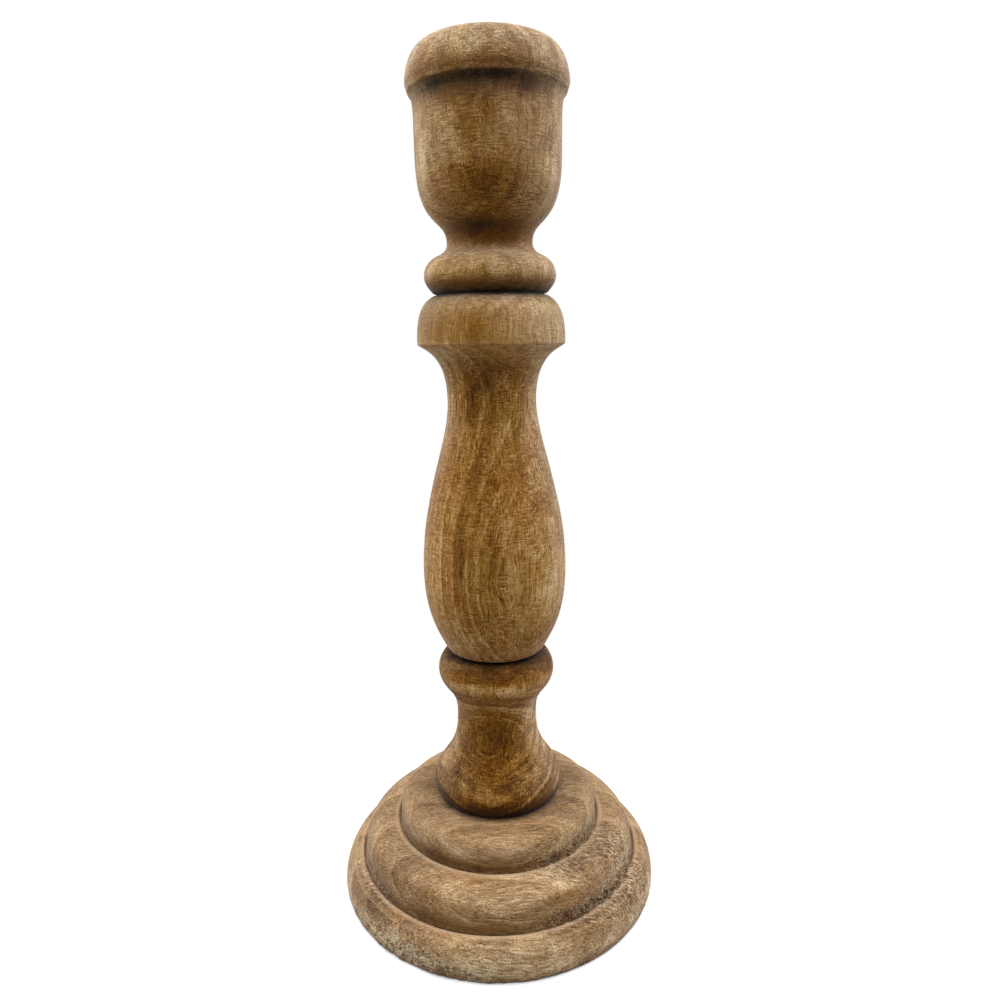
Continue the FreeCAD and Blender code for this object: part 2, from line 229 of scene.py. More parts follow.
def outlinePoints(outline, step, level):
    points = [Vector((outline[0][0], 0, outline[0][1]))]
    for before, after in zip(outline, outline[1:]):
        start = Vector((before[0], 0, before[1]))
        end = Vector((after[0], 0, after[1]))
        reach = end - start
        count = max(1, round(reach.length / step))
        shape = after[2] if len(after) == 3 else count
        if isinstance(shape, tuple):
            leave, rise, arrive, drop = shape
            first = start + Vector((leave * reach.x, 0, rise * reach.z))
            second = end - Vector((arrive * reach.x, 0, drop * reach.z))
            pointCount = max(3, count + 1)
            points += interpolate_bezier(start, first, second, end, pointCount)[1:]
        else:
            points += [start.lerp(end, n / shape) for n in range(1, shape + 1)]
    return [p + up * level for p in points]


def softened(points, rounds):
    for _ in range(rounds):
        inner = [(a + 2 * b + c) / 4 for a, b, c in zip(points, points[1:], points[2:])]
        points = [points[0]] + inner + [points[-1]]
    return points


def spin(points, sectors, steps):
    # one sector is spun and then repeated, which is much quicker than one long spin
    bm = bmesh.new()
    verts = [bm.verts.new(p * mm) for p in points]
    edges = [bm.edges.new(pair) for pair in zip(verts, verts[1:])]
    sector = math.tau / sectors
    bmesh.ops.spin(bm, geom=verts + edges, cent=(0, 0, 0), axis=up, angle=sector, steps=steps,
                   use_merge=False, use_duplicate=False)
    bmesh.ops.spin(bm, geom=bm.verts[:] + bm.edges[:] + bm.faces[:], cent=(0, 0, 0), axis=up,
                   angle=math.tau * (sectors - 1) / sectors, steps=sectors - 1,
                   use_merge=False, use_duplicate=True)
    bmesh.ops.remove_doubles(bm, verts=bm.verts, dist=weld * mm)
    bmesh.ops.recalc_face_normals(bm, faces=bm.faces)
    return bm


def finished(name, bm, material, node):
    mesh = bpy.data.meshes.new(name)
    bm.to_mesh(mesh)
    bm.free()
    mesh.shade_smooth()
    mesh.materials.append(material)
    piece = bpy.data.objects.new(name, mesh)
    bpy.context.scene.collection.objects.link(piece)
    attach(piece, "root")
    if node:
        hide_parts(node)
    return piece


# marks on a turned piece, with turns in degrees from the front to the right, and heights in mm over the
# level that the piece's outline starts from:
# ring marks are (radius, height, reach, depth) and go all round,
# spot marks are (turn, height, half turn, half height, depth), all round with a half turn of 999,
# dents are (turn, height, reach, depth).

def bell(distance, reach):
    return math.exp(-(distance / reach) ** 2)


def azimuth(p):
    return math.degrees(math.atan2(p.x, -p.y))


def turnBetween(a, b):
    return (a - b + 180) % 360 - 180


def clamped(value):
    return max(0, min(1, value))


def ringMarks(marks, level):
    def amount(vert):
        p = vert.co / mm
        return sum(depth * bell(math.hypot(p.xy.length - radius, p.z - level - height), reach)
                   for radius, height, reach, depth in marks)
    return amount


def spotMarks(marks, level):
    def amount(vert):
        p = vert.co / mm
        return sum(depth * bell(math.hypot(turnBetween(azimuth(p), turn) / halfTurn,
                                           (p.z - level - height) / halfHeight), 1)
                   for turn, height, halfTurn, halfHeight, depth in marks)
    return amount


def paint(mesh, name, amount):
    layer = mesh.attributes.new(name, "FLOAT", "POINT")
    layer.data.foreach_set("value", [amount(vert) for vert in mesh.vertices])


wear = {
    "core": 1,  # mm round the axis that stay true
    "tornFrom": 0.05,  # a fainter torn mark leaves the shape alone
    "tuftScale": (0.55, 0.2, 0.2),  # per mm round the piece, outwards and up
    "tuftMean": 0.25,
}


def wearOut(bm, spec, level):
    # hand work leaves no true circle, use leaves dents, and a dull tool tears the fibres
    tearing = spotMarks(spec.get("torn", []), level)
    roundScale, outScale, upScale = wear["tuftScale"]
    for vert in bm.verts:
        p = vert.co / mm
        if p.xy.length < wear["core"]:
            continue
        out = Vector((p.x, p.y, 0)).normalized()
        swell = noise.noise(p * spec["waveScale"] + Vector(spec["seed"])) * spec["wave"]
        for turn, height, reach, depth in spec.get("dents", []):
            arc = math.radians(turnBetween(azimuth(p), turn)) * p.xy.length
            swell -= depth * bell(math.hypot(arc, p.z - level - height), reach)
        ragged = tearing(vert)
        if ragged > wear["tornFrom"]:
            arc = math.radians(azimuth(p)) * p.xy.length
            tuft = noise.noise(Vector((arc * roundScale, p.xy.length * outScale, p.z * upScale)))
            swell += min(1, ragged) * (tuft - wear["tuftMean"]) * spec["tear"]
        vert.co += out * swell * mm


# wood: growth rings lie about "pith", measured with "stretch" along each axis, so a small stretch draws
# them out, and "along" is the way of the fibres. Lengths are in mm and scales per mm.
# "tone" is the wood's own lightness, and the share of each pattern in it has the pattern's name.
# "film" is the share of greyed wood: "sides" adds to it left and right of the axis, a painted sheen for the
# reflection along the outline; the dust share adds dust and a painted sheen on faces that look up; and
# "lean" adds its amount for each mm along the three axes.

warmWood = tints((0, "412408"), (0.22, "6c420c"), (0.5, "996c2a"), (0.72, "bb935b"), (1, "d8b98c"))
greyWood = tints((0, "3a2c19"), (0.22, "6a5238"), (0.5, "987a58"), (0.72, "bb9e78"), (1, "dfc8a4"))
stainsAndShades = {
    "warmBounce": tint("fff0c4"), "rosy": tint("fbeadf"), "olive": tint("fbf6e4"), "worn": tint("c3a586"),
    "bruise": tint("4a2812"), "shade": tint("42260a"), "gloom": tint("2b2017"), "grime": tint("190f06"),
    "wool": tint("dfc8a4"),
}
weave = {  # noise of all the wood: scale, detail, roughness
    "sway": (0.05, 2), "ripple": (0.4, 2), "broken": (0.1, 2), "fibre": (2.0, 2, 0.6), "pore": (2.4, 1),
    "lathe": (1, 2, 0.5), "speckle": (2.3, 2, 0.6), "mottle": (0.16, 4, 0.62), "drift": (0.045, 2, 0.55),
    "turn": (0.2, 3, 0.6), "hue": (0.08, 3, 0.6), "bristle": (1, 3, 0.65), "shred": (1.4, 3, 0.6),
}
detail = {  # noise whose scale each piece gives: detail, roughness
    "wander": (2, 0.5), "band": (4, 0.78), "vein": (1, 0.4), "streak": (3, 0.55),
}
pace = {  # how fast a pattern changes along the fibres, beside 1 across them
    "wander": 0.35, "ripple": 0.2, "band": 0.012, "vein": 0.02, "streak": 0.05, "pore": 0.16,
    "mottle": 0.5, "hue": 0.4, "shred": 0.07,
}
apart = {"sway": (7, 7), "mottle": (17, 5), "turn": (3, 9), "hue": (40, 10), "vein": 7}  # shifts in mm
latheScale = (2.4, 0.35)  # across and along the marks that the tool leaves round the piece
bristleScale = (1.6, 0.45)  # round the piece, and outwards and up
edge = {  # where a mask starts and where it is full
    "vein": (0.015, 0.08), "broken": (0.42, 0.58), "pore": (0.6, 0.72), "patch": (0.42, 0.57),
    "turn": (0.4, 0.6), "coarse": (0.35, 0.65), "rosy": (0.5, 0.62), "olive": (0.5, 0.38),
    "gouge": (0.48, 0.38), "wool": (0.55, 0.66),
}
breakUp = {  # a mark's own share, and how far the patterns under it break it up
    "smudge": (0.45, {"patch": 0.7}),
    "shade": (0.8, {"torn": -0.35, "mottle": 0.6, "speckle": 1}),
    "bruise": (0.5, {"patch": 0.5, "speckle": 1}),
    "gloom": (0.8, {"mottle": 0.8, "speckle": 1}),
    "worn": (0.7, {"speckle": 2}),
    "grime": (0.9, {"torn": -0.75, "speckle": 1.2, "mottle": 1.2}),
}
cut = {
    "fibreMost": 1.6, "latheLeast": 0.3, "latheTurn": 1.3,  # fibres show where the tool's own rings don't
    "coarseLeast": 0.55, "coarseMottle": 0.9, "patchMottle": 0.8, "patchSpeckle": 0.2,
    "ringMean": 0.33, "filmDrift": 0.45,
    "tornLively": 1.3, "fineLeast": 0.6, "tuftMix": 0.75, "gouge": 0.85, "wool": 0.7,
}
bump = {"fibre": 0.4, "lathe": 0.4, "speckle": 0.4, "pore": 0.3, "wool": 0.6, "gouge": 0.8}
gloss = {"roughness": 0.68, "veins": 0.05, "pores": 0.1, "specular": 0.06, "sheenRoughness": 0.4}


def turnedWood(name, grain):
    f = Finish(name)
    spot = f.place()
    x, y, z = f.axes(spot)
    radius = (x * x + y * y) ** 0.5
    around = x.maths("ARCTAN2", -y) * grain["girth"]
    seed = grain["seed"]

    def shifted(place, name):
        return f.move("ADD", place, (*apart[name], seed))

    # the fibres sway, and a pattern is drawn out along them
    sway = f.noise(shifted(spot, "sway"), *weave["sway"]) - 0.5
    bent = f.move("ADD", spot, f.scaled(grain["sway"], sway))
    along = f.dot(bent, grain["along"])

    def drawnOut(rate):
        return f.move("SUBTRACT", bent, f.scaled(grain["along"], along * (1 - rate)))

    # growth rings, with their bands and dark veins
    wander = f.noise(drawnOut(pace["wander"]), grain["wanderScale"], *detail["wander"])
    ripple = f.noise(drawnOut(pace["ripple"]), *weave["ripple"])
    offset = f.move("MULTIPLY", f.move("SUBTRACT", spot, grain["pith"]), grain["stretch"])
    sheet = (f.move("LENGTH", offset, output="Value") + (wander - 0.5) * grain["wander"]
             + (ripple - 0.5) * grain["ripple"])
    bands = f.noise(f.vector(sheet, along * pace["band"], seed), grain["bandScale"], *detail["band"])
    vein = f.noise(f.vector(sheet, along * pace["vein"], seed + apart["vein"]), grain["veinScale"],
                   *detail["vein"])
    broken = f.noise(spot, *weave["broken"])
    veins = (1 - f.between(abs(vein - 0.5), *edge["vein"])) * f.between(broken, *edge["broken"])
    rings = (sheet / grain["ringGap"]).maths("FRACT") ** 2

    # fibres, pores and the tool's marks
    streak = f.noise(drawnOut(pace["streak"]), grain["streakScale"], *detail["streak"])
    fibre = f.noise(drawnOut(grain["fibreRun"]), *weave["fibre"])
    pores = f.between(f.noise(drawnOut(pace["pore"]), *weave["pore"]), *edge["pore"])
    across, onward = latheScale
    lathe = f.noise(f.vector(radius * across, z * across, around * onward), *weave["lathe"])
    speckle = f.noise(spot, *weave["speckle"])

    # broad patches
    mottle = f.noise(shifted(drawnOut(pace["mottle"]), "mottle"), *weave["mottle"])
    drift = f.noise(spot, *weave["drift"])
    patch = f.between(mottle * (cut["patchMottle"] - grain["streaky"]) + streak * grain["streaky"]
                      + speckle * cut["patchSpeckle"], *edge["patch"])
    turn = f.between(f.noise(shifted(spot, "turn"), *weave["turn"]), *edge["turn"])
    coarse = cut["coarseLeast"] + f.between(mottle, *edge["coarse"]) * cut["coarseMottle"]

    torn = f.attribute("torn")
    under = {"torn": torn, "patch": patch, "mottle": mottle - 0.5, "speckle": speckle - 0.5}

    def mark(name):
        depth, shares = breakUp[name]
        for pattern, amount in shares.items():
            depth = depth + under[pattern] * amount
        return f.attribute(name) * depth

    # lightness: torn wood is livelier, and a negative torn mark calms it
    fine = ((fibre - 0.5) * (cut["fibreMost"] - turn) * grain["fibres"] - pores * grain["pores"]
            + (lathe - 0.5) * (cut["latheLeast"] + turn * cut["latheTurn"]) * grain["lathe"]
            + (speckle - 0.5) * coarse * grain["speckle"])
    lines = ((bands - 0.5) * grain["bands"] + veins * grain["veins"] + (streak - 0.5) * grain["streaks"]
             + (rings - cut["ringMean"]) * grain["rings"])
    lively = 1 + torn * cut["tornLively"]
    tone = (grain["tone"] + fine * lively.maths("MAXIMUM", cut["fineLeast"])
            + lines * lively.maths("MINIMUM", 1) + (drift - 0.5) * grain["drift"]
            + (mottle - 0.5) * grain["mottles"])
    # tone spots hold the wood's own tone, painted shade and painted light
    tone = tone - mark("smudge")
    # greyed wood, with dust and a painted sheen on faces that look up, and a painted sheen left and right
    film = (grain["film"] + f.attribute("sky") * grain["dustAndSheen"] + (drift - 0.5) * cut["filmDrift"]
            + f.dot(spot, grain["lean"]) + (x / radius) ** 2 * grain["sides"] - f.attribute("smudge"))
    colour = f.blend(film, f.ramp(tone, warmWood), f.ramp(tone, greyWood))

    # stains, marks, painted bounce light, painted shade and painted shadow, the lowest first
    hue = f.noise(shifted(drawnOut(pace["hue"]), "hue"), *weave["hue"])
    for overlay in ("rosy", "olive"):
        colour = f.blend(f.between(hue, *edge[overlay]) * grain["hues"], colour, stainsAndShades[overlay], "MULTIPLY")
    # painted warm light bounced from wood to wood, which deepens the colour where the painted shade is
    colour = f.blend(f.attribute("shade"), colour, stainsAndShades["warmBounce"], "MULTIPLY")
    for overlay in ("shade", "bruise", "gloom", "worn"):
        colour = f.blend(mark(overlay), colour, stainsAndShades[overlay])

    # torn wood: dark gouges between pale wool
    aboutScale, outScale = bristleScale
    bristle = f.noise(f.vector(around * aboutScale, radius * outScale, z * outScale), *weave["bristle"])
    shred = f.noise(drawnOut(pace["shred"]), *weave["shred"])
    tuft = 0.5 + (bristle - 0.5) * cut["tuftMix"] + (shred - 0.5) * cut["tuftMix"]
    gouge = f.between(tuft, *edge["gouge"]) * torn
    wool = f.between(tuft, *edge["wool"]) * torn
    colour = f.blend(gouge * cut["gouge"], colour, stainsAndShades["shade"])
    colour = f.blend(wool * cut["wool"], colour, stainsAndShades["wool"])
    # grime in the joints, with painted contact shadow and painted shade in the grooves
    colour = f.blend(mark("grime"), colour, stainsAndShades["grime"])

    height = (fibre * bump["fibre"] + lathe * bump["lathe"] + speckle * bump["speckle"]
              - pores * bump["pore"] + wool * bump["wool"] - gouge * bump["gouge"])
    roughness = gloss["roughness"] - veins * gloss["veins"] + pores * gloss["pores"]
    return f.surface(colour, roughness, height, grain["relief"], Specular_IOR_Level=gloss["specular"],
                     Sheen_Weight=grain["sheen"], Sheen_Roughness=gloss["sheenRoughness"])


# the four turned pieces. Grime with painted contact shadow, and painted shades, are ring marks, and fade
# towards the sides and back down to a least share that a piece gives. Lips are worn edges with a painted
# highlight. A tone spot above 0 is darker and warmer, below 0 paler and greyer: the spots hold the wood's
# own tone, painted shade and painted light. The painted shadows under the cup's rim end at a given top
# height.
# A torn mark below 0 makes the wood calmer than the rest.
# The base's outline starts under the foot, and its edge comes down 1.1 mm round the felt.

base = {
    "outline": [
        (0, 0), (60.2, 0, 6), (60.3, -1.1), (61.1, -1.1), (61.3, 1.6, (0.2, 0.5, 0, 0.5)),
        (54.2, 11.4, (0, 0.35, 0.75, 0)), (53.6, 10.2, 2), (53.1, 11.8, 3),
        (39.7, 23.9, (0, 0.85, 0.6, 0)), (39.1, 22.7, 2), (38.6, 24.3, 3), (24.1, 34.8, (0, 0.9, 1.0, 0)),
        (14.1, 34.8, 6),
    ],
    "step": 0.5, "rounding": 1, "sectors": 16, "steps": 24, "wave": 0.25, "waveScale": 0.05,
    "seed": (3, 1, 7), "tear": 1.3,
    "dents": [(-52, 1.5, 1.6, 0.9), (-49, 0.4, 1.0, 0.6), (38, 10.6, 1.8, 0.5), (52, 23.4, 1.4, 0.5)],
    # grime in the grooves, and painted contact shadow round the stem's foot and under the bottom edge
    "grime": [
        (53.5, 10.6, 0.7, 0.9), (39.0, 23.1, 0.7, 0.9), (61.2, -0.9, 0.5, 0.4), (24, 34.8, 1.8, 0.9),
    ],
    # painted shade, with some dirt, on the walls above the grooves
    "shades": [(53.2, 12.2, 2.6, 0.7), (38.8, 24.7, 2.4, 0.85)],
    "sideGrimeAndShade": 0.45,
    "lips": [(55.0, 11.4, 0.8, 0.9), (40.6, 24.0, 0.8, 0.9), (57.8, 10.1, 0.45, 0.45)],
    # tone spots, with painted light on the tier walls and bottom edge, and painted shade round the stem's
    # foot
    "toneAndShadingSpots": [
        (0, 3, 999, 2.8, -0.36), (0, 7, 999, 3, -0.08), (-34, 16, 30, 5, -0.15), (28, 20.5, 9, 3, 0.22),
        (22, 20, 5, 2, 0.2), (22, 5.5, 8, 3, 0.26), (54, 14.5, 14, 3.2, -0.28), (0, 34.9, 999, 0.8, 0.08),
        (0, 29.6, 66, 3, -0.26), (0, 18.5, 20, 3.4, -0.14), (0, 21.6, 60, 1.6, -0.18),
        (-48, 16, 16, 4, 0.2), (-35, 27, 8, 3, 0.25), (4, 8, 14, 3, -0.15), (-32, 4, 16, 3, -0.1),
        (0, 3.5, 30, 2, -0.1), (-46, 21, 14, 3.5, 0.25), (-54, 9, 8, 3, 0.25), (-42, 10.5, 8, 2, 0.25),
        (-74, 6, 10, 4, -0.1), (64, 10, 14, 4, 0.15), (52, 21.5, 8, 2.5, 0.15), (30, 3, 12, 3, 0.15),
        (26, 10.2, 9, 2, 0.25), (16, 7, 10, 3, -0.15), (-30, 3, 30, 2.5, -0.12), (-28, 20.5, 8, 2, 0.2),
        (-26, 15, 8, 4, 0.25), (25, 21.5, 10, 1.6, -0.2), (26, 24, 8, 1.2, -0.15), (-70, 7, 10, 3, 0.1),
        (66, 15, 8, 4, -0.22), (39, 22.5, 6, 2, 0.2), (13, 10, 8, 2.5, -0.15),
    ],
    "bruisesAndShadows": [
        (42, 12.2, 16, 1.6, 0.25), (38, 24.4, 14, 1.4, 0.3), (-62, 6, 10, 3, 0.3),
        (34, 12.2, 2.5, 0.9, 0.9), (39, 13.4, 2, 0.8, 0.8), (27, 12.3, 3, 0.7, 0.6),
        (31, 24.6, 2.5, 0.7, 0.7), (22, 11.3, 8, 1.4, 0.6), (47, 11.4, 7, 2, 0.5),
    ],
    "torn": [
        (38, 25.5, 24, 2.6, 1), (36, 13.2, 22, 2.4, 1), (64, 20, 12, 5, 0.8), (62, 6, 16, 5, 0.65),
        (-60, 12.5, 14, 2.4, 0.7), (58, 12.5, 12, 3, 0.9), (-34, 3, 26, 4, 0.9), (20, 4, 40, 6, 0.1),
        (-8, 1, 30, 2.4, 0.25), (-12, 30, 34, 4, -0.25),
    ],
    "grain": {
        "pith": (-20, 40, -70), "stretch": (0.12, 1, 1), "along": (0.995, 0.0, -0.1), "seed": 3,
        "girth": 48, "sway": (0, 6, 4), "streaky": 0.3, "lean": (0, 0, 0), "fibreRun": 0.07, "hues": 0.3,
        "wander": 9, "wanderScale": 0.04, "ripple": 1.2, "bandScale": 0.3, "veinScale": 0.35,
        "streakScale": 0.5, "ringGap": 9, "rings": 0.18, "tone": 0.435, "bands": 0.22, "veins": 0.08,
        "streaks": 0.15, "fibres": 0.8, "pores": 0.12, "lathe": 0.35, "speckle": 0.85, "drift": 0.2,
        "mottles": 0.2, "film": 0.64, "sides": 0.45, "dustAndSheen": 0.2, "relief": 0.3, "sheen": 0.2,
    },
}
stem = {
    "outline": [
        (14.0, 0), (23.6, 0, 4), (24.8, 4.7, (0.5, 0.1, 0, 0.5)), (15.25, 31.7, (0, 0.31, 0, 0.64)),
        (17.2, 40.7, (0, 0.5, 0.5, 0.1)), (22.1, 50.7, (0.05, 0.2, 0, 0.5)),
        (15.5, 58.7, (0, 0.5, 0.55, 0)), (6, 58.7),
    ],
    "step": 0.5, "rounding": 1, "sectors": 16, "steps": 16, "wave": 0.15, "waveScale": 0.07,
    "seed": (11, 4, 2),
    "grime": [(23.8, -0.2, 3.1, 1.1), (16.1, 58.7, 4.5, 1.1)],
    "shades": [(24.3, 0.6, 4.4, 0.9), (16.5, 59.5, 4, 0.8)],
    "lips": [],
    "toneAndShadingSpots": [
        (2, 30, 22, 8, 0.1), (4, 49.5, 55, 2.6, -0.4), (-48, 18, 18, 8, 0.18), (50, 36, 14, 8, -0.2),
        (62, 36, 22, 9, -0.22), (-14, 13, 34, 7, 0.1), (0, 55.5, 999, 3.6, 0.14),
        (0, 3.5, 999, 3.5, 0.12), (-20, 3, 44, 3.4, 0.2), (38, 18, 14, 6, 0.26), (8, 15, 40, 7, 0.15),
        (0, 40, 999, 3.5, -0.08),
    ],
    # dark patches, and painted shadow at the foot and on top of the bead
    "bruisesAndShadows": [(2, 26, 18, 4.5, 0.4), (-6, 55, 40, 1.8, 0.35), (-10, 2.4, 34, 3.2, 0.75)],
    "grain": {
        "pith": (-2, 0, 62), "stretch": (1.1, 0.7, 1), "along": (0.1, 0.1, 1), "seed": 11, "girth": 18,
        "sway": (8, 5, 0), "streaky": 0.3, "lean": (0.004, 0, -0.008), "fibreRun": 0.1, "hues": 0.6,
        "wander": 5, "wanderScale": 0.05, "ripple": 1.2, "bandScale": 0.34, "veinScale": 0.3,
        "streakScale": 0.5, "ringGap": 5, "rings": 0.07, "tone": 0.36, "bands": 0.55, "veins": 0.24,
        "streaks": 0.15, "fibres": 0.8, "pores": 0.1, "lathe": 0.6, "speckle": 0.85, "drift": 0.3,
        "mottles": 0.12, "film": 0.38, "sides": 0.9, "dustAndSheen": 0.5, "relief": 0.2, "sheen": 0.1,
    },
}
baluster = {
    "outline": [
        (6, 0), (15.5, 0, 4), (18.4, 1.0), (26.6, 32.0, (0.55, 0.27, 0, 0.52)),
        (15.9, 94.0, (0, 0.44, 0, 0.24)), (26.15, 113.9, (0, 0.84, 0.2, 0.1)),
        (19.3, 130.6, (0, 0.33, 1.0, 0.15)), (6, 130.6, 6),
    ],
    "step": 0.5, "rounding": 1, "sectors": 16, "steps": 16, "wave": 0.18, "waveScale": 0.05,
    "seed": (5, 9, 1),
    "dents": [(24, 113.7, 0.9, 0.5), (31, 112.9, 0.7, 0.3), (-86, 41, 1.2, 0.5)],
    "grime": [(17.5, 0.2, 1.3, 0.5), (19.6, 130.5, 1.8, 1.0), (22.6, 129.0, 2.6, 0.22)],
    "shades": [(19, 1, 4, 0.35), (20, 108, 5, 0.25)],
    "lips": [(26.2, 114.2, 0.7, 0.8)],
    "toneAndShadingSpots": [
        (0, 119, 999, 6, -0.12), (-10, 117, 8, 5, 0.2), (-24, 96, 13, 9, 0.26), (-17, 72, 7, 12, 0.1),
        (1, 67, 4, 3, 0.2), (-14, 78, 8, 12, 0.08), (-15, 60, 3.5, 14, 0.12), (-27, 48, 5, 17, 0.2),
        (-20, 44, 2.5, 9, 0.18), (28, 72, 5, 12, 0.14), (0, 42, 3.5, 15, 0.08), (-7, 30, 2.5, 12, 0.08),
        (-50, 76, 12, 15, 0.18), (16, 40, 8, 12, -0.12), (-3, 55, 3, 14, 0.08), (26, 88, 3, 6, 0.12),
        (-5, 66, 3, 9, 0.15), (24, 98, 10, 8, 0.1), (-10, 26, 24, 10, 0.05), (-15.5, 84, 2, 9, -0.15),
        (20, 88, 2.5, 9, -0.15), (49, 80, 4, 9, -0.15), (-30, 22, 12, 6, 0.1), (-1, 48, 4, 1.4, 0.2),
        (48, 61, 14, 6, 0.1), (50, 32, 14, 14, -0.22), (-50, 34, 12, 18, -0.12), (-22, 11, 12, 2.5, -0.1),
        (-55, 86, 18, 7, -0.1), (20, 30, 14, 14, -0.08), (-16, 40, 3, 9, -0.12), (-50, 120, 22, 7, 0.2),
        (45, 115, 16, 4, -0.1), (-60, 110, 34, 4, -0.25), (0, 4, 999, 5, -0.08), (50, 110, 24, 4, -0.12),
        (-10, 122, 12, 5, 0.08), (35, 122, 30, 6, -0.12), (10, 127, 60, 2.5, -0.15),
    ],
    "torn": [(0, 121, 999, 7, -0.55)],
    # dark patches, and painted shadow under the block
    "bruisesAndShadows": [
        (-9, 101, 11, 4.5, 0.75), (6, 106, 12, 2.2, 0.6), (-27, 44, 3.5, 13, 0.45), (-17, 69, 7, 9, 0.15),
        (-3, 39, 3, 9, 0.12),
    ],
    "grain": {
        "pith": (-58, 68, 160), "stretch": (1, 1, 0.04), "along": (0.02, 0.02, 1), "seed": 5, "girth": 22,
        "sway": (9, 6, 0), "streaky": 0.6, "lean": (0.011, 0, 0.006), "fibreRun": 0.07, "hues": 0.8,
        "wander": 6, "wanderScale": 0.035, "ripple": 1.2, "bandScale": 0.75, "veinScale": 0.45,
        "streakScale": 0.6, "ringGap": 5, "rings": 0.14, "tone": 0.512, "bands": 0.6, "veins": 0.1,
        "streaks": 0.4, "fibres": 0.8, "pores": 0.2, "lathe": 0.75, "speckle": 0.8, "drift": 0.2,
        "mottles": 0.1, "film": -1.4, "sides": 0.9, "dustAndSheen": 1.2, "relief": 0.2, "sheen": 0.2,
    },
}
cup = {
    "outline": [
        (6, 0), (19.3, 0, 4), (22.95, 6.4, (0.75, 0.43, 0, 0.33)), (17.25, 13.4, (0, 0.2, 0.9, 0.25)),
        (14.8, 17.2, (0.55, 0.25, 0, 0.5)), (24.9, 45.0, (0, 0.33, 0, 0.84)), (24.9, 54.4),
        (26.7, 64.6, (0, 0.55, 0.9, 0.05)), (27.4, 67.4, (0.2, 0.6, 0, 0.4)),
        (20.0, 78.8, (0, 0.35, 0.7, 0)), (18.2, 78.8), (18.2, 77.8), (16.5, 77.8), (16.5, 62.8),
        (2, 62.8, 6),
    ],
    "step": 0.55, "rounding": 1, "sectors": 16, "steps": 16, "wave": 0.18, "waveScale": 0.06,
    "seed": (2, 6, 8),
    "grime": [(19.8, -0.4, 2.6, 1.2)],
    "shades": [(15.2, 20, 4.5, 0.5), (19, 13, 2.4, 0.3), (22.4, 2.4, 2.8, 0.7)],
    "lips": [],
    "toneAndShadingSpots": [
        (0, 7, 999, 4, -0.15), (-48, 46, 24, 12, -0.15), (18, 53, 12, 4, -0.15), (-35, 43, 6, 4, -0.15),
        (-14, 48, 10, 9, 0.1), (2, 17, 50, 3, 0.12), (24, 71.5, 8, 2, 0.15), (6, 67.5, 24, 2, 0.1),
        (0, 73, 999, 7, -0.17), (0, 33, 30, 6, 0.28), (17, 37, 10, 2.2, 0.12), (0, 21, 40, 6, 0.16),
        (-62, 70, 14, 6, 0.12), (62, 68, 18, 7, 0.22), (54, 38, 8, 8, -0.25), (-58, 45, 7, 9, -0.2),
        (-32, 49, 12, 5, -0.1), (-18, 41.5, 12, 3, -0.15), (10, 66.5, 22, 2.2, 0.2), (16, 72, 5, 3, 0.15),
        (-20, 71, 18, 3, -0.15), (-6, 7, 4, 3, 0.15), (-42, 68, 18, 5, 0.15), (-3, 54, 10, 5, 0.2),
    ],
    # dark patches, and painted shadow under the rim and at the joint
    "bruisesAndShadows": [
        (-4, 30, 16, 2, 0.3), (-6, 20.0, 46, 3.2, 0.7), (0, 11, 50, 1.6, 0.2), (0, 2, 50, 2, 0.4),
        (-8, 59.5, 36, 3, 0.65), (28, 61, 20, 3, 0.65), (-2, 58.5, 10, 3, 0.3), (10, 66.2, 28, 1.6, 0.25),
        (-4, 16.2, 30, 2.4, 0.7),
    ],
    # painted shadow under the rim and under the bowl, with some dirt
    "underShadows": [
        (-16, 62.8, 40, 3.0, 0.85), (18, 63.2, 38, 2.2, 0.75), (-50, 62.2, 22, 3.2, 0.6),
        (-10, 21.6, 46, 2.2, 0.75),
    ],
    "underShadowTop": 64.9,
    "grain": {
        "pith": (40, 80, 250), "stretch": (1, 1, 0.1), "along": (0.02, 0.02, 1), "seed": 19, "girth": 22,
        "sway": (9, 6, 0), "streaky": 0.2, "lean": (0.013, 0, 0.006), "fibreRun": 0.1, "hues": 0.7,
        "wander": 6, "wanderScale": 0.04, "ripple": 0.9, "bandScale": 0.4, "veinScale": 0.4,
        "streakScale": 0.5, "ringGap": 8, "rings": 0.06, "tone": 0.52, "bands": 0.35, "veins": 0.1,
        "streaks": 0.2, "fibres": 0.42, "pores": 0.14, "lathe": 0.75, "speckle": 1.05, "drift": 0.35,
        "mottles": 0.4, "film": -1.33, "sides": 0.6, "dustAndSheen": 0.9, "relief": 0.2, "sheen": 0.2,
    },
}
lie = {
    "shade": 1.1, "shadeSlope": 1.6,  # painted shades are weaker the more a face looks up
    "worn": 0.4,  # lips are worn, with a painted highlight, on their upper side, and less below it
    "underShadowEdge": 0.5,  # mm over which the painted shadow under the rim ends
}


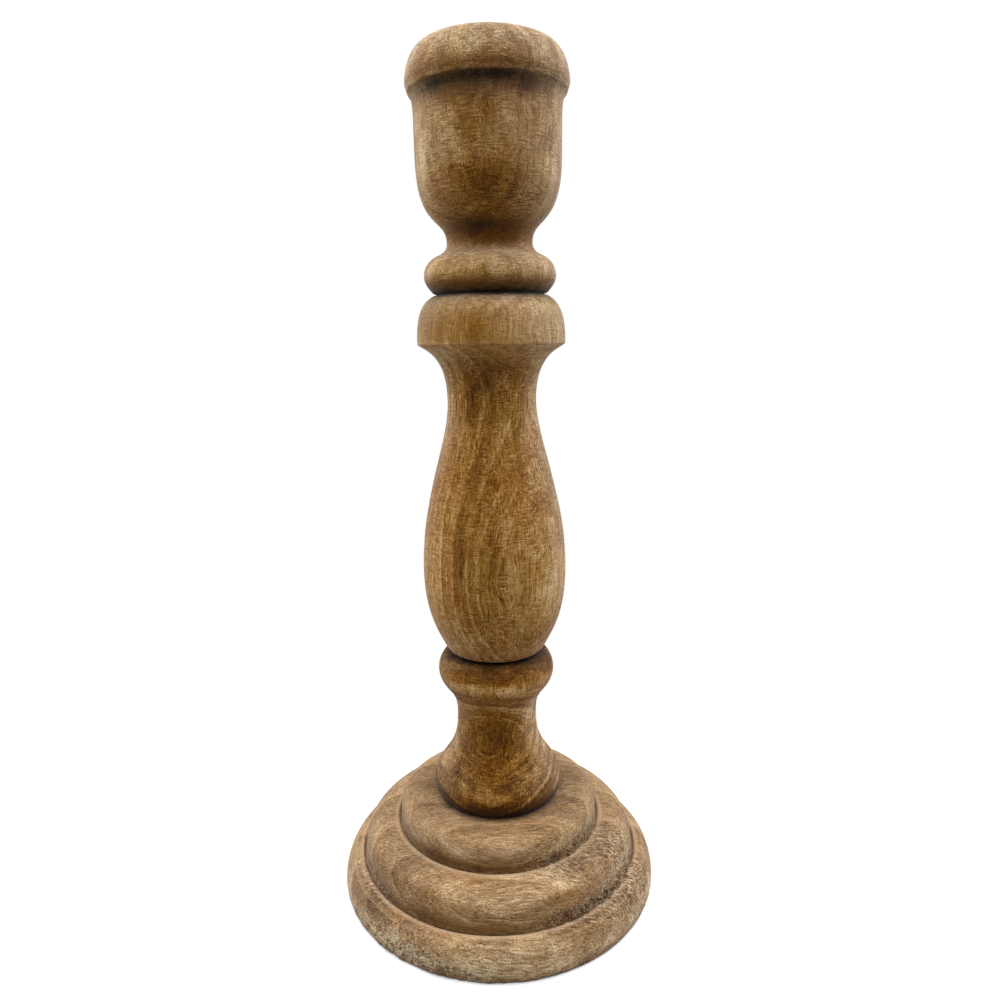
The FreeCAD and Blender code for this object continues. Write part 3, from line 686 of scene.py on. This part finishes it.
def turnWood(name, spec, node, level):
    points = softened(outlinePoints(spec["outline"], spec["step"], level), spec["rounding"])
    bm = spin(points, spec["sectors"], spec["steps"])
    wearOut(bm, spec, level)
    piece = finished(name, bm, turnedWood(name + "_wood", spec["grain"]), node)
    grime = ringMarks(spec["grime"], level)
    shade = ringMarks(spec["shades"], level)
    lip = ringMarks(spec["lips"], level)
    gloom = spotMarks(spec.get("underShadows", []), level)
    underShadowTop = spec.get("underShadowTop", 0) + level

    # grime and painted shade fade away from the front, down to a least share at the sides and back
    def front(vert):
        return max(spec.get("sideGrimeAndShade", 1), math.cos(math.radians(azimuth(vert.co))))

    def sheltered(vert):
        return clamped(lie["shade"] - vert.normal.z * lie["shadeSlope"])

    def exposed(vert):
        return clamped(lie["worn"] + vert.normal.z)

    def below(vert):
        return clamped((underShadowTop - vert.co.z / mm) / lie["underShadowEdge"])

    paint(piece.data, "grime", lambda vert: grime(vert) * front(vert))
    # painted shade, with some dirt, under the lips and on the walls above the grooves
    paint(piece.data, "shade", lambda vert: shade(vert) * front(vert) * sheltered(vert))
    # pale lips: wear, and a painted highlight on their upper side
    paint(piece.data, "worn", lambda vert: lip(vert) * exposed(vert))
    # tone spots: own tone, painted shade and painted light
    paint(piece.data, "smudge", spotMarks(spec["toneAndShadingSpots"], level))
    # dark patches and painted shadow
    paint(piece.data, "bruise", spotMarks(spec["bruisesAndShadows"], level))
    paint(piece.data, "torn", spotMarks(spec.get("torn", []), level))
    # painted shadow under the rim, cut off at its top
    paint(piece.data, "gloom", lambda vert: gloom(vert) * below(vert))
    # how far a face looks up, where dust and painted sheen lie
    paint(piece.data, "sky", lambda vert: max(0, vert.normal.z))
    print(name, "made,", len(piece.data.polygons), "faces")
    return piece


baseBoard = turnWood("base_board", base, "base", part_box("base")[0].z / mm)
turnWood("stem_spool", stem, "stem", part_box("base")[1].z / mm)
turnWood("baluster_vase", baluster, "baluster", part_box("baluster")[0].z / mm)
turnWood("cup_and_rim", cup, "candle_cup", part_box("candle_cup")[0].z / mm)


# felt under the foot

felt = {
    "outline": [(0, 0), (59.0, 0), (59.3, 0.4), (59.3, 1.2), (59.0, 1.5), (0, 1.5)],
    "step": 0.5, "sectors": 16, "steps": 16,
    "edgeFrom": 58, "wave": 0.4, "waveScale": 0.9,  # the cut edge isn't quite even
    "fuzz": (1.6, 4, 0.75), "tints": tints((0.3, "1c1917"), (0.7, "4a433d")),
    "roughness": 0.95, "relief": 0.5, "sheen": 0.3,
}


def feltFinish():
    f = Finish("felt_black")
    fuzz = f.noise(f.place(), *felt["fuzz"])
    colour = f.ramp(fuzz, felt["tints"])
    return f.surface(colour, felt["roughness"], fuzz, felt["relief"], Sheen_Weight=felt["sheen"])


def makeFelt():
    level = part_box("felt_pad")[0].z / mm
    bm = spin(outlinePoints(felt["outline"], felt["step"], level), felt["sectors"], felt["steps"])
    for vert in bm.verts:
        if vert.co.xy.length > felt["edgeFrom"] * mm:
            shake = noise.noise(vert.co / mm * felt["waveScale"]) * felt["wave"] * mm
            vert.co.x += vert.co.x / vert.co.xy.length * shake
            vert.co.y += vert.co.y / vert.co.xy.length * shake
    finished("felt_disc", bm, feltFinish(), "felt_pad")


makeFelt()
print("felt made")


# brass pan and iron spike, which the rim hides from the front

pan = {
    "outline": [
        (2.2, 0), (13.9, 0), (16.3, 2.4, (0.55, 0, 0, 0.55)), (16.3, 15.2), (17.6, 15.2),
        (18.0, 15.6, (0.55, 0, 0, 0.55)), (17.6, 16.0, (0, 0.55, 0.55, 0)), (16.1, 16.0),
        (15.5, 15.4, (0.55, 0, 0, 0.55)), (15.5, 2.6), (13.7, 0.8, (0, 0.55, 0.55, 0)), (10.4, 0.8),
        (9.9, 1.1, (0.5, 0, 0.5, 0)), (9.4, 0.8, (0.5, 0, 0.5, 0)), (2.2, 0.8), (2.2, 0),
    ],
    "step": 0.35, "sectors": 16, "steps": 10, "wave": 0.08, "waveScale": 0.2, "seed": (4, 4, 1),
}
spike = {
    "outline": [
        (0, 0), (2.0, 3.0), (2.0, 22.0), (5.6, 22.0), (6.0, 22.6, (0.6, 0, 0, 0.5)),
        (5.6, 23.2, (0, 0.5, 0.6, 0)), (3.0, 23.2), (2.5, 23.7, (0.6, 0, 0, 0.5)), (2.5, 31.2),
        (0.3, 41.5), (0, 41.5),
    ],
    "step": 0.35, "sectors": 8, "steps": 6, "wave": 0.16, "waveScale": 0.5, "seed": (7, 3, 3),
}
brass = {
    "spun": (3, 3, 0.6), "patina": (0.25, 5, 0.65), "wax": (0.6, 3),
    "tints": tints((0.32, "4c3a1e"), (0.5, "a07c3c"), (0.68, "cfae64")),
    "spunShare": 0.3, "patinaEdge": (0.35, 0.65), "roughness": (0.55, 0.28), "waxShare": 0.2,
    "relief": 0.05, "metal": 1.0,
}
iron = {
    "scale": (0.9, 4, 0.6), "tints": tints((0.3, "1b1b1c"), (0.7, "4a4847")),
    "rust": (0.35, 4, 0.7), "rustEdge": (0.54, 0.66), "rustTint": tint("6b4029"), "rustRoughness": 0.25,
    "scaleEdge": (0.3, 0.7), "roughness": (0.6, 0.42), "relief": 0.12, "metal": 0.85,
}


def brassFinish():
    f = Finish("brass_aged")
    spot = f.place()
    x, y, z = f.axes(spot)
    radius = (x * x + y * y) ** 0.5
    spun = f.noise(f.vector(radius, z, 0), *brass["spun"])
    patina = f.noise(spot, *brass["patina"])
    wax = f.noise(spot, *brass["wax"])
    colour = f.ramp(patina + (spun - 0.5) * brass["spunShare"], brass["tints"])
    rough = f.between(patina, *brass["patinaEdge"], *brass["roughness"]) + (wax - 0.5) * brass["waxShare"]
    return f.surface(colour, rough, spun, brass["relief"], Metallic=brass["metal"])


def ironFinish():
    f = Finish("iron_dark")
    spot = f.place()
    scale = f.noise(spot, *iron["scale"])
    rust = f.between(f.noise(spot, *iron["rust"]), *iron["rustEdge"])
    colour = f.blend(rust, f.ramp(scale, iron["tints"]), iron["rustTint"])
    rough = f.between(scale, *iron["scaleEdge"], *iron["roughness"]) + rust * iron["rustRoughness"]
    return f.surface(colour, rough, scale, iron["relief"], Metallic=iron["metal"])


def turnMetal(name, spec, node, material):
    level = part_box(node)[0].z / mm
    bm = spin(outlinePoints(spec["outline"], spec["step"], level), spec["sectors"], spec["steps"])
    wearOut(bm, spec, level)
    finished(name, bm, material, node)


turnMetal("brass_pan", pan, "drip_pan", brassFinish())
turnMetal("iron_spike", spike, "pricket", ironFinish())
print("pan and spike made")


# dowels, screw and washer keep their CAD meshes, and get their finishes

beech = {
    "grain": (1.8, 4, 0.6), "grainPace": (1, 1, 0.08), "tints": tints((0.3, "b98f62"), (0.7, "dfbf94")),
    "fleck": (1.6, 1), "fleckPace": (1, 1, 0.3), "fleckEdge": (0.62, 0.7), "fleckTint": tint("9a6f45"),
    "fleckShare": 0.5, "roughness": 0.7, "relief": 0.05,
}
steel = {
    "bloom": (1.1, 4, 0.65), "tints": tints((0.35, "8b8d8f"), (0.65, "c9cbca")),
    "bloomEdge": (0.35, 0.65), "roughness": (0.45, 0.25), "turned": (4, 2), "relief": 0.03, "metal": 1.0,
}


def beechFinish():
    f = Finish("beech_dowel")
    spot = f.place()
    grown = f.noise(f.move("MULTIPLY", spot, beech["grainPace"]), *beech["grain"])
    flecks = f.noise(f.move("MULTIPLY", spot, beech["fleckPace"]), *beech["fleck"])
    fleck = f.between(flecks, *beech["fleckEdge"])
    colour = f.blend(fleck * beech["fleckShare"], f.ramp(grown, beech["tints"]), beech["fleckTint"])
    return f.surface(colour, beech["roughness"], fleck, beech["relief"])


def steelFinish():
    f = Finish("zinc_steel")
    spot = f.place()
    x, y, z = f.axes(spot)
    bloom = f.noise(spot, *steel["bloom"])
    turned = f.noise(f.vector((x * x + y * y) ** 0.5, z, 0), *steel["turned"])
    rough = f.between(bloom, *steel["bloomEdge"], *steel["roughness"])
    colour = f.ramp(bloom, steel["tints"])
    return f.surface(colour, rough, turned, steel["relief"], Metallic=steel["metal"])


def dress(material, *names):
    for name in names:
        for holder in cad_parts[name].material_slots:
            holder.material = material


dress(beechFinish(), "lower_dowel", "upper_dowel")
dress(steelFinish(), "base_screw", "screw_washer")
print("inner pieces dressed")


# fibres that the tool has torn up from the board

fuzz = {
    "count": 460, "seed": 24,
    "lowest": 6, "tornFrom": 0.55,  # a root lies above this height, on wood torn more than this
    "length": (0.6, 2.5), "thickness": 0.085, "sunk": 0.1,  # mm
    "sideways": ((-1, 1), (-1, 1), (-0.4, 0.8)), "lean": 0.9,
    "links": 4, "sides": 4, "bend": 0.35, "taper": 0.72,
    "pattern": (0.8, 2), "tints": tints((0.35, "8a6540"), (0.65, "dcc39a")), "roughness": 0.7,
}


def strawFinish():
    f = Finish("torn_fibre")
    pattern = f.noise(f.place(), *fuzz["pattern"])
    return f.surface(f.ramp(pattern, fuzz["tints"]), fuzz["roughness"])


def makeFibre(bm, root, heading, length, chance):
    start = Matrix.Translation(root) @ heading.to_track_quat("Z", "Y").to_matrix().to_4x4()
    made = bmesh.ops.create_circle(bm, cap_ends=True, segments=fuzz["sides"],
                                   radius=fuzz["thickness"] * mm, matrix=start)
    face = made["verts"][0].link_faces[0]
    for _ in range(fuzz["links"]):
        face = bmesh.ops.extrude_discrete_faces(bm, faces=[face])["faces"][0]
        turn = Vector([chance.uniform(-fuzz["bend"], fuzz["bend"]) for _ in range(3)])
        heading = (heading + turn).normalized()
        bmesh.ops.translate(bm, vec=heading * length / fuzz["links"], verts=face.verts)
        middle = Matrix.Translation(-face.calc_center_median())
        bmesh.ops.scale(bm, vec=(fuzz["taper"],) * 3, space=middle, verts=face.verts)


def makeFuzz(board):
    chance = random.Random(fuzz["seed"])
    torn = board.data.attributes["torn"].data
    roots = [vert for vert, mark in zip(board.data.vertices, torn)
             if mark.value > fuzz["tornFrom"] and vert.co.z > fuzz["lowest"] * mm]
    bm = bmesh.new()
    for vert in chance.sample(roots, fuzz["count"]):
        sideways = Vector([chance.uniform(*reach) for reach in fuzz["sideways"]])
        heading = (vert.normal + sideways * fuzz["lean"]).normalized()
        length = chance.uniform(*fuzz["length"]) * mm
        makeFibre(bm, vert.co - vert.normal * fuzz["sunk"] * mm, heading, length, chance)
    bmesh.ops.recalc_face_normals(bm, faces=bm.faces)
    finished("torn_fibres", bm, strawFinish(), None)


makeFuzz(baseBoard)
print("torn fibres made")


# floor and light, in metres and watts

studio = {
    "lamps": {
        "top": {"size": (2.4, 2.0), "spot": (0, -0.25, 1.45), "power": 36},
        "left": {"size": (1.4, 1.4), "spot": (-1.05, 0.5, 0.75), "power": 17},
        "right": {"size": (1.4, 1.4), "spot": (1.05, 0.5, 0.75), "power": 18},
    },
    "aim": (0, 0, 0.15), "fill": 0.18, "backdrop": 1,
    "floorRadius": 3, "floorSides": 96, "floor": 0.97,
    "bounce": 0.3,  # what the floor throws back at the object
    "shadowReach": (0.075, 0.13),  # the floor's shadow fades out between these distances
}


def makeFloor():
    bm = bmesh.new()
    bmesh.ops.create_circle(bm, cap_ends=True, segments=studio["floorSides"], radius=studio["floorRadius"])
    mesh = bpy.data.meshes.new("floor")
    bm.to_mesh(mesh)
    bm.free()
    floor = bpy.data.objects.new("floor", mesh)
    bpy.context.scene.collection.objects.link(floor)
    f = Finish("floor_white")
    seen = f.add("ShaderNodeLightPath", output="Is Camera Ray")
    away = f.move("LENGTH", f.scaled(f.place(), mm), output="Value")
    dull = f.add("ShaderNodeBsdfDiffuse", None, {"Color": (studio["bounce"],) * 3 + (1,)})
    white = f.add("ShaderNodeBsdfDiffuse", None, {"Color": (studio["floor"],) * 3 + (1,)})
    glow = f.add("ShaderNodeEmission", None, {"Color": (1, 1, 1, 1), "Strength": studio["backdrop"]})
    fade = f.between(away, *studio["shadowReach"])
    plain = f.add("ShaderNodeMixShader", None, {0: fade, 1: white, 2: glow})
    both = f.add("ShaderNodeMixShader", None, {0: seen, 1: dull, 2: plain})
    f.add("ShaderNodeOutputMaterial", None, {"Surface": both})
    mesh.materials.append(f.owner)


def makeWorld():
    f = Finish("tent", "worlds")
    seen = f.add("ShaderNodeLightPath", output="Is Camera Ray")
    tent = f.add("ShaderNodeBackground", None, {"Strength": studio["fill"]})
    white = f.add("ShaderNodeBackground", None, {"Color": (1, 1, 1, 1), "Strength": studio["backdrop"]})
    both = f.add("ShaderNodeMixShader", None, {0: seen, 1: tent, 2: white})
    f.add("ShaderNodeOutputWorld", None, {"Surface": both})
    bpy.context.scene.world = f.owner


def softbox(name, spec):
    data = bpy.data.lights.new(name, "AREA")
    data.shape = "RECTANGLE"
    data.size, data.size_y = spec["size"]
    data.energy = spec["power"]
    lamp = bpy.data.objects.new(name + "_box", data)
    bpy.context.scene.collection.objects.link(lamp)
    lamp.location = spec["spot"]
    aim = Vector(studio["aim"]) - Vector(spec["spot"])
    lamp.rotation_euler = aim.to_track_quat("-Z", "Y").to_euler()


makeFloor()
makeWorld()
for name, spec in studio["lamps"].items():
    softbox(name, spec)
bpy.context.scene.view_settings.view_transform = "Standard"
print("stage and light made")
